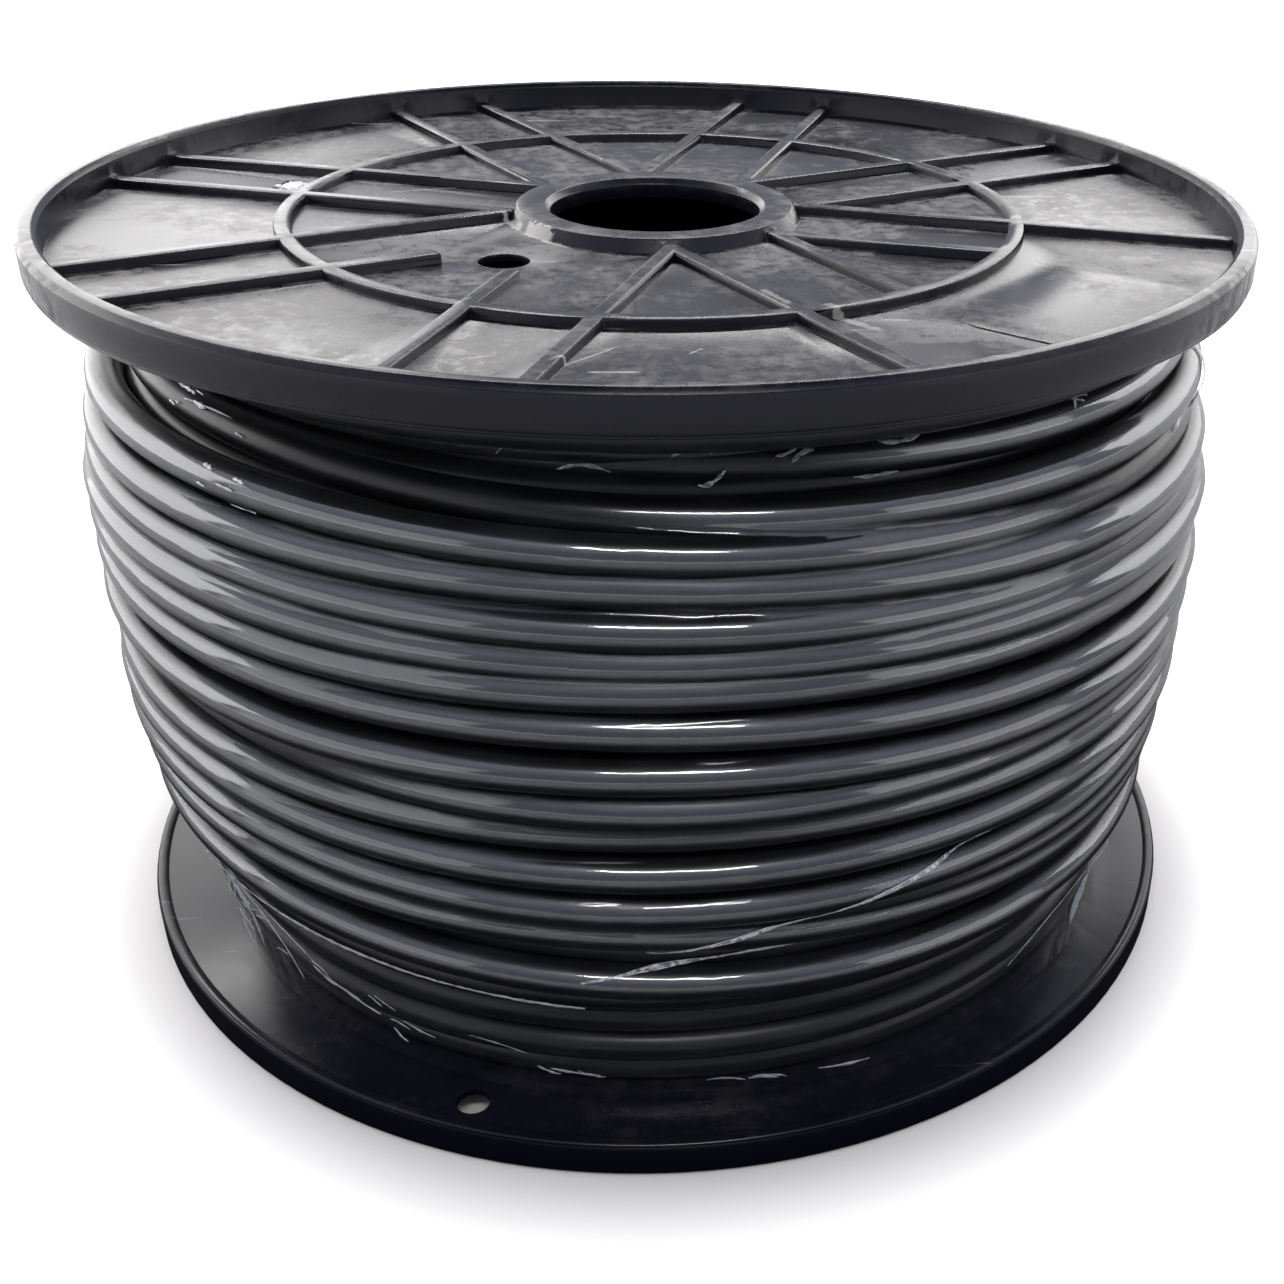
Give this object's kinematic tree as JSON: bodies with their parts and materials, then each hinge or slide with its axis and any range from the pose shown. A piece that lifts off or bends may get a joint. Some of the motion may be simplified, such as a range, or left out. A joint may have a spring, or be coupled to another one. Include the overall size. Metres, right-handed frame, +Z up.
{
  "type": "spool of power cable",
  "caption": "Flanged plastic cable reel standing on end, wound full with round black sheathed power cable under clear stretch film.",
  "frame": {"origin": "on the reel's axis at the floor, where the lower flange's rim stands", "axes": "+Z up along the reel's axis; the camera of the picture looks along +Y"},
  "size_m": [0.4, 0.4, 0.258],
  "materials": {
    "reel_plastic": "satin injection-moulded black plastic",
    "cable_sheath": "satin black extruded sheath",
    "clear_film": "glossy clear stretch film"
  },
  "bodies": {
    "root": {"top_flange": "reel_plastic", "bottom_flange": "reel_plastic", "barrel": "reel_plastic", "cable_winding": "cable_sheath", "film_wrap": "clear_film"}
  },
  "joints": []
}
